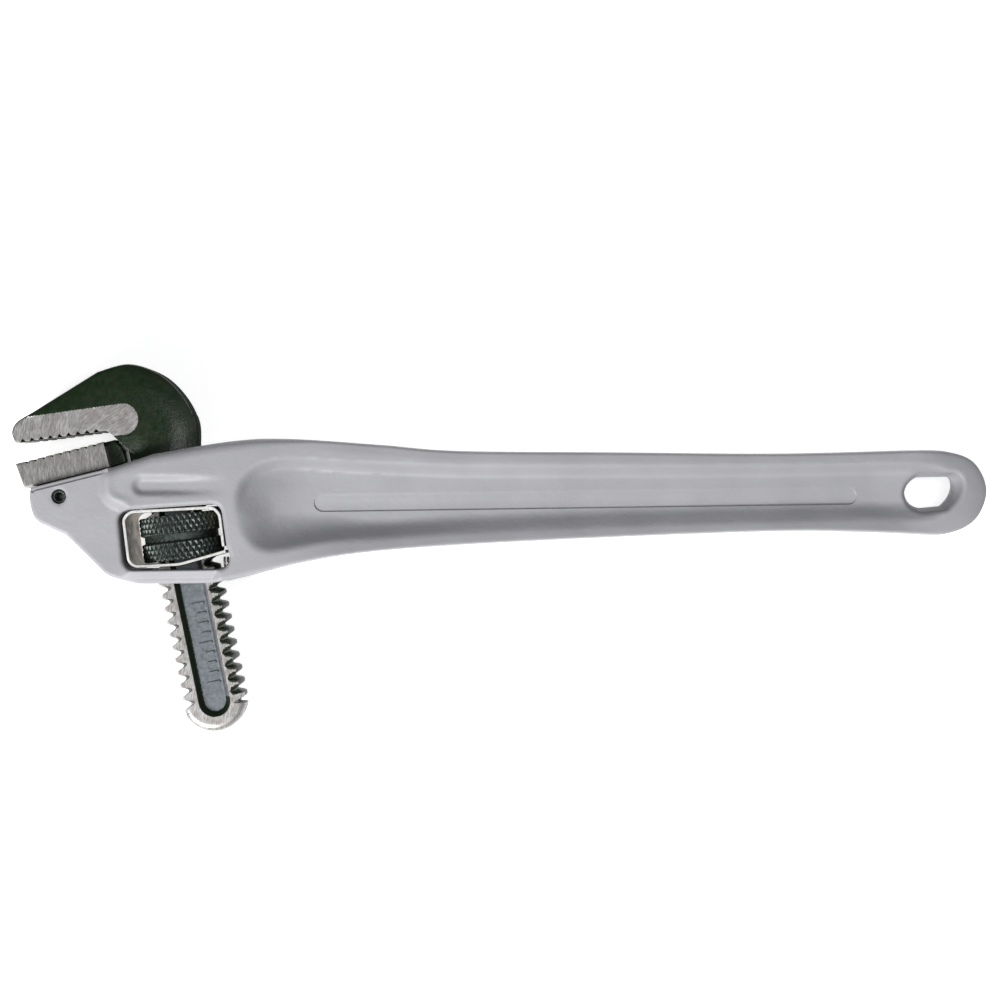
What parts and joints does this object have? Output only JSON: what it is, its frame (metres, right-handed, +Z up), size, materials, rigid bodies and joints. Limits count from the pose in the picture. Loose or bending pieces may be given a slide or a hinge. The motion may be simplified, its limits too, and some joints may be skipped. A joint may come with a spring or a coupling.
{
  "type": "offset pipe wrench",
  "caption": "Offset pipe wrench: I-section handle with a hang hole, pinned toothed heel jaw, and a hook jaw on a flat threaded shank that a knurled nut moves through a window in the head.",
  "frame": {"origin": "middle of the bounding box at its bottom, under the handle near the head, with the wrench lying on one face and the jaws nearly closed", "axes": "+X along the handle from the head to the hang hole, +Y in the plane of the wrench towards the hook jaw, +Z up, across the wrench's thickness"},
  "size_m": [0.3476, 0.1316, 0.031],
  "materials": {
    "painted_casting": "satin silver-grey paint over a sand casting, with slight orange peel",
    "ground_steel": "bare ground steel with fine grinding scratches",
    "forged_steel": "black oxide over a forging, ground bright beside the teeth and on the flats of the shank",
    "nut_steel": "dark oiled steel, diamond knurled",
    "spring_steel": "bright spring steel"
  },
  "bodies": {
    "handle": {"handle_casting": "painted_casting", "heel_jaw": "ground_steel", "heel_jaw_pin": "spring_steel", "coil_spring": "spring_steel", "flat_spring": "spring_steel"},
    "spring_frame": {"nut_spring_frame": "spring_steel"},
    "hook_jaw": {"hook_jaw": "forged_steel"},
    "nut": {"adjusting_nut": "nut_steel"}
  },
  "joints": [
    {"name": "jaw_rock", "type": "hinge", "parent": "handle", "child": "spring_frame", "pos_m": [-0.11476, 0.00388, 0.0155], "axis": [0, 0, 1], "range_deg": [0, 2], "stiffness_Nm_per_rad": 2, "springref_deg": -2.29},
    {"name": "nut_spin", "type": "hinge", "parent": "spring_frame", "child": "nut", "pos_m": [-0.11476, 0.00388, 0.0155], "axis": [0.1149, -0.9934, 0], "range_deg": [-152, 3849]},
    {"name": "hook_slide", "type": "slide", "parent": "spring_frame", "child": "hook_jaw", "axis": [-0.1925, 0.9813, 0], "range_m": [-0.00195, 0.0497]}
  ],
  "couplings": [
    {"joint": "nut_spin", "follows": "hook_slide", "rad_per_m": 1351.2}
  ]
}
